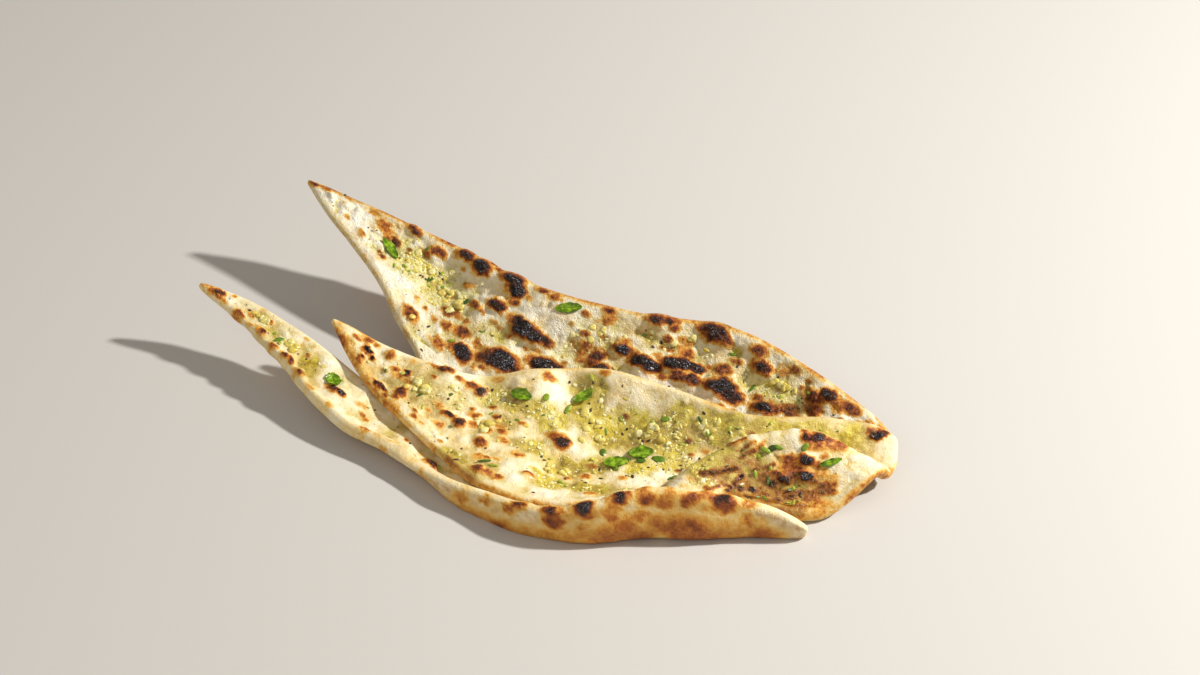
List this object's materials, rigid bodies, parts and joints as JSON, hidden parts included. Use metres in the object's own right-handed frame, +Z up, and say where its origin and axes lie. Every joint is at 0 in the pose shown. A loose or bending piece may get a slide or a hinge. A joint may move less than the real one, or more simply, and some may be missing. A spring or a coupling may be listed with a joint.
{
  "type": "chili garlic naan",
  "caption": "Long garlic naan with chilli and coriander, cut lengthwise into slices that lie together as one bread, with charred blisters and a curled crust.",
  "frame": {"origin": "middle of the footprint, on the surface the bread rests on", "axes": "+X along the bread to the right, +Y to the back, +Z up"},
  "size_m": [0.3012, 0.2012, 0.0432],
  "materials": {
    "dough": "baked bread dough, browned and buttered, satin",
    "coriander": "fresh leaf, slightly waxy"
  },
  "bodies": {
    "root": {"slice_back": "dough", "slice_middle": "dough", "slice_front": "dough", "coriander_leaf_1": "coriander", "coriander_leaf_2": "coriander", "coriander_leaf_3": "coriander", "coriander_leaf_4": "coriander", "coriander_leaf_5": "coriander", "coriander_leaf_6": "coriander", "coriander_leaf_7": "coriander", "coriander_leaf_8": "coriander"}
  },
  "joints": []
}
